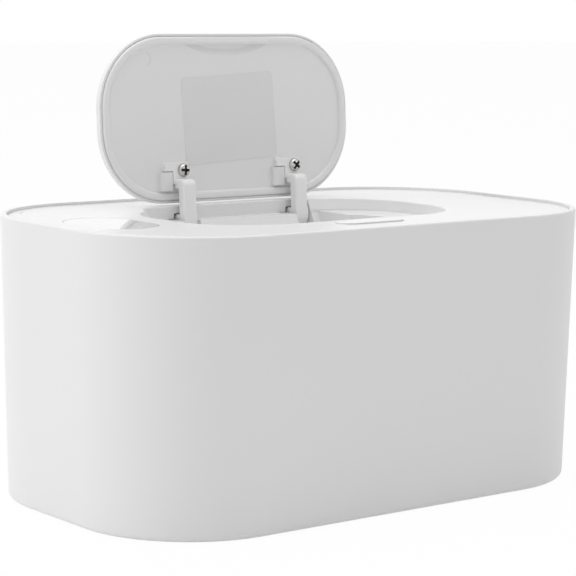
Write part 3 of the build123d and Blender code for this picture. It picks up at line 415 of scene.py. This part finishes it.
def closed_piece(name, points, faces, material, smooth_angle=40.0):
    """A mesh object from its points in metres: doubles merged, faces turned outwards and shaded smooth."""
    mesh = bpy.data.meshes.new(name)
    mesh.from_pydata(points.tolist(), [], faces)
    shape = bmesh.new()
    shape.from_mesh(mesh)
    bmesh.ops.remove_doubles(shape, verts=shape.verts, dist=1e-7)
    bmesh.ops.recalc_face_normals(shape, faces=shape.faces)
    shape.to_mesh(mesh)
    shape.free()
    mesh.shade_smooth()
    mesh.set_sharp_from_angle(angle=math.radians(smooth_angle))
    mesh.materials.append(material)
    made = bpy.data.objects.new(name, mesh)
    bpy.context.scene.collection.objects.link(made)
    return made


def ring_faces(rings, around):
    """Four-sided faces between neighbouring closed rings of points, and a flat face over each end ring."""
    i, j = np.meshgrid(np.arange(rings - 1), np.arange(around), indexing="ij")
    i, j = i.ravel(), j.ravel()
    after = (j + 1) % around
    quads = np.stack([i * around + j, i * around + after, (i + 1) * around + after, (i + 1) * around + j], 1)
    first = list(range(around))[::-1]
    last = [(rings - 1) * around + k for k in range(around)]
    return quads.tolist() + [first, last]


def spring_coil(low, high):
    """A round wire along a helix that fills the box between two corners. Its middle line turns evenly as it
    climbs; round it the wire's circle lies in the plane of the outward and the upward normal of that line."""
    middle = (low + high) / 2
    coil_radius = (high[0] - low[0]) / 2 - wire_radius
    u = np.linspace(0, 1, coil_turns * steps_per_turn + 1)[:, None]
    turned = u * coil_turns * 2 * math.pi
    climb = (high[2] - low[2] - 2 * wire_radius) * u
    line = np.concatenate([coil_radius * np.cos(turned), coil_radius * np.sin(turned), climb], 1)
    line = line + [middle[0], middle[1], low[2] + wire_radius]
    outward = np.concatenate([np.cos(turned), np.sin(turned), 0 * turned], 1)
    rise = (high[2] - low[2]) / (coil_turns * 2 * math.pi * coil_radius)
    upward = np.concatenate([rise * np.sin(turned), -rise * np.cos(turned), 0 * turned + 1], 1)
    upward = upward / np.linalg.norm(upward, axis=1, keepdims=True)
    round_wire = (np.arange(steps_round_wire) / steps_round_wire * 2 * math.pi)[None, :, None]
    tube = line[:, None] + wire_radius * (np.cos(round_wire) * outward[:, None]
                                          + np.sin(round_wire) * upward[:, None])
    return tube.reshape(-1, 3), ring_faces(len(line), steps_round_wire)


coil_low, coil_high = (np.array(corner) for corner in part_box("button_spring"))
points, faces = spring_coil(coil_low, coil_high)
coil = closed_piece("spring_coil", points, faces, spring_steel)
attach(coil, "cover")
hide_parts("button_spring")
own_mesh(coil)


# ---- Hinges ----
# Two identical white nylon arms are screwed to the lid by their feet and turn on steel pins in the cover.
# Both have their arm at the right of the foot, so they are the same part and not a mirrored pair.

dress(moulded("hinge_nylon", grey(248, 0.1), 0.30, 0.000003), "hinge_arm_left", "hinge_arm_right")
dress(drawn_metal("hinge_pin_steel", (0.60, 0.60, 0.61, 1.0), 0.2, 0.0001), "hinge_pin_left", "hinge_pin_right")


# ---- Lid ----
# The lid is a shallow white tray with a rolled rim, and a panel snapped into it whose raised rib lands on
# the recess when it closes. The panel's satin face keeps the round mark of an ejector pin, drawn as a shallow ring
# with painted shade along it.

dress(moulded("lid_plastic", grey(238, 0.1), 0.34, 0.000005), "lid_outer")

panel = Finish("panel_plastic")
# the ejector pin's mark is a thin ring at this place on the open lid, deeper on its right side, where its painted
# shade is also heavier
mark_x, mark_z, mark_radius, mark_line = -0.0371, 0.1608, 0.0021, 1 / 3500
across = panel.along(0) - mark_x
height = panel.along(2) - mark_z
off_ring = (across * across + height * height) ** 0.5 - mark_radius
ring = 1.0 - off_ring.sum_of("ABSOLUTE", off_ring) / mark_line
deep_shaded_side = panel.node("ShaderNodeClamp", None, {0: across / mark_radius * 1.5 + 0.4})
ring = ring.sum_of("MAXIMUM", ring, 0.0) * deep_shaded_side
cloud = panel.noise(0.045, 3.0, 0.5)
etched = panel.noise(0.0004, 3.0, 0.7)
rubbed = panel.noise(0.009, 3.0, 0.6)
# the colour darkens to grey 212 along the ring: painted shade of the mark's edge
dress(panel.surface(
    Base_Color=panel.shades(panel.shades(grey(236, 0.1), grey(239, 0.1), cloud), grey(212), ring * 0.7),
    Roughness=0.34 + (rubbed - 0.5) * 0.12,
    Normal=panel.bump(etched, 0.00001, 0.5, panel.bump(ring, 0.00010, 1.0)), IOR=1.49), "lid_inner_panel")


# ---- Blank label inside the lid ----
# A sheet of satin white film with rounded corners, stuck a little askew on the panel. Its edge stands up by
# the film's thickness and it lies in very slight ripples where it was smoothed down by hand.

hinge_line = np.array([0.0, 0.0397, 0.0987])
open_turn = math.radians(-93.8)


def stood_up(points):
    """Points of the closed lid turned about the hinge line to where the lid stands open: y and z, taken
    from the hinge line, become y cos t - z sin t and y sin t + z cos t."""
    x, y, z = (points - hinge_line).T
    c, s = math.cos(open_turn), math.sin(open_turn)
    return np.stack([x, y * c - z * s, y * s + z * c], axis=1) + hinge_line


label_size = np.array([0.0445, 0.0338])
label_corner, label_film, label_turn = 0.0020, 0.00015, math.radians(-2.8)
corner_steps, ripple_height = 9, 0.00003
label_middle, panel_height = np.array([0.0016, 0.0005]), 0.10145
arc = np.linspace(0, math.pi / 2, corner_steps)
theta = (np.arange(4)[:, None] * (math.pi / 2) + arc[None, :]).ravel()
corner_side = np.repeat([[1, 1], [-1, 1], [-1, -1], [1, -1]], corner_steps, axis=0)
outline = (corner_side * (label_size / 2 - label_corner)
           + label_corner * np.stack([np.cos(theta), np.sin(theta)], 1))
# rings of the sheet as shares of its outline: under its edge, over its edge, then in towards the middle
scale = np.concatenate([[1.0, 1.0, 0.996], np.linspace(0.93, 0.04, 16)])
sheet = scale[:, None, None] * outline[None]
turn = np.array([[math.cos(label_turn), -math.sin(label_turn)], [math.sin(label_turn), math.cos(label_turn)]])
sheet = sheet @ turn.T + label_middle
ripple = ripple_height * (1 + np.sin(sheet[..., 0] * 330.0 + 1.3) * np.sin(sheet[..., 1] * 410.0))
drop = label_film + ripple
drop[0] = 0.0
drop[1] = label_film * 0.7
film = np.concatenate([sheet, panel_height - drop[..., None]], axis=2).reshape(-1, 3)
faces = ring_faces(len(scale), len(outline))

paper_film = Finish("label_film")
fibre = paper_film.noise(0.0007, 3.0, 0.6)
tone = paper_film.noise(0.015, 2.0, 0.5)
label = closed_piece("blank_label", stood_up(film), faces, paper_film.surface(
    Base_Color=paper_film.shades(grey(228), grey(231), tone), Roughness=0.30 + (fibre - 0.5) * 0.10,
    Normal=paper_film.bump(fibre, 0.000004, 0.5), IOR=1.5), 30.0)
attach(label, "lid")
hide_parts("label_plate")


# ---- Lid screws ----
# Two nickel-plated pan-head screws with a cross recess hold the hinge feet. The recess is pressed in, so its
# four wings slope down to the middle; its colour there is painted near black as painted shade, and it is rougher and
# less metallic.

head_radius, head_height, head_top = 0.0026, 0.0019, 0.09945
screw_x, screw_y = (-0.0229, 0.0315), 0.02015
recess_depth, wing_half_width, wing_flare = 0.0013, 0.00044, 0.00010
wing_reach, wing_ramp = 0.00198, 0.00060


def screw_head(middle_x, turned_by):
    """A pan head as a polar grid. Its height is the head's height times (1 - r^3.4)^(1/2.6) for r from 0 to 1,
    less the recess, which is deepest at the middle and falls to nothing along each of four wings."""
    r = np.concatenate([np.linspace(0.02, 0.9, 44), np.linspace(0.91, 1.0, 16)])
    t = np.arange(144) / 144 * 2 * math.pi
    radius, angle = np.meshgrid(r, t, indexing="ij")
    dome = head_height * (1 - radius ** 3.4) ** (1 / 2.6)
    x, y = radius * head_radius * np.cos(angle), radius * head_radius * np.sin(angle)
    a, b = x * math.cos(turned_by) + y * math.sin(turned_by), y * math.cos(turned_by) - x * math.sin(turned_by)
    long_way, short_way = np.maximum(abs(a), abs(b)), np.minimum(abs(a), abs(b))
    half_width = wing_half_width + wing_flare * (1 - long_way / head_radius)
    wing = np.clip((half_width - short_way) / 0.00006 + 0.5, 0, 1)
    slope = np.clip((wing_reach - long_way) / wing_ramp, 0, 1)
    z = head_top - (dome - recess_depth * wing * slope)
    grid = np.stack([x + middle_x, y + screw_y, z], -1)
    # share of painted shade in the recess: full along the wings, fading out where they rise to the head's face
    shaded_recess = wing * np.clip(slope * 3.0, 0, 1)
    return grid.reshape(-1, 3), ring_faces(len(r), len(t)), shaded_recess.ravel()


plating = Finish("nickel_plate")
haze = plating.noise(0.0009, 3.0, 0.6)
tarnish = plating.noise(0.0022, 2.0, 0.5)
# painted shade of the cross recess, read from the head's point attribute: it turns the colour near black there
recess_shade = plating.node("ShaderNodeAttribute", {"attribute_name": "recess_shade"}, output=2)
bright = plating.shades((0.42, 0.41, 0.40, 1.0), (0.66, 0.65, 0.63, 1.0), tarnish)
nickel = plating.surface(Base_Color=plating.shades(bright, (0.012, 0.012, 0.012, 1.0), recess_shade), Metallic=1.0 - recess_shade * 0.7,
                         Roughness=0.16 + haze * 0.10 + recess_shade * 0.3, Normal=plating.bump(haze, 0.000008, 0.4))
for name, middle_x, turned_by in (("lid_screw_left", screw_x[0], 0.07), ("lid_screw_right", screw_x[1], 0.70)):
    points, faces, shaded_recess = screw_head(middle_x, turned_by)
    screw = closed_piece(name, stood_up(points), faces, nickel, 28.0)
    # the head carries its recess's painted shade as a point attribute
    screw.data.attributes.new("recess_shade", "FLOAT", "POINT").data.foreach_set("value", shaded_recess)
    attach(screw, "lid")
    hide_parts("lid_screws")
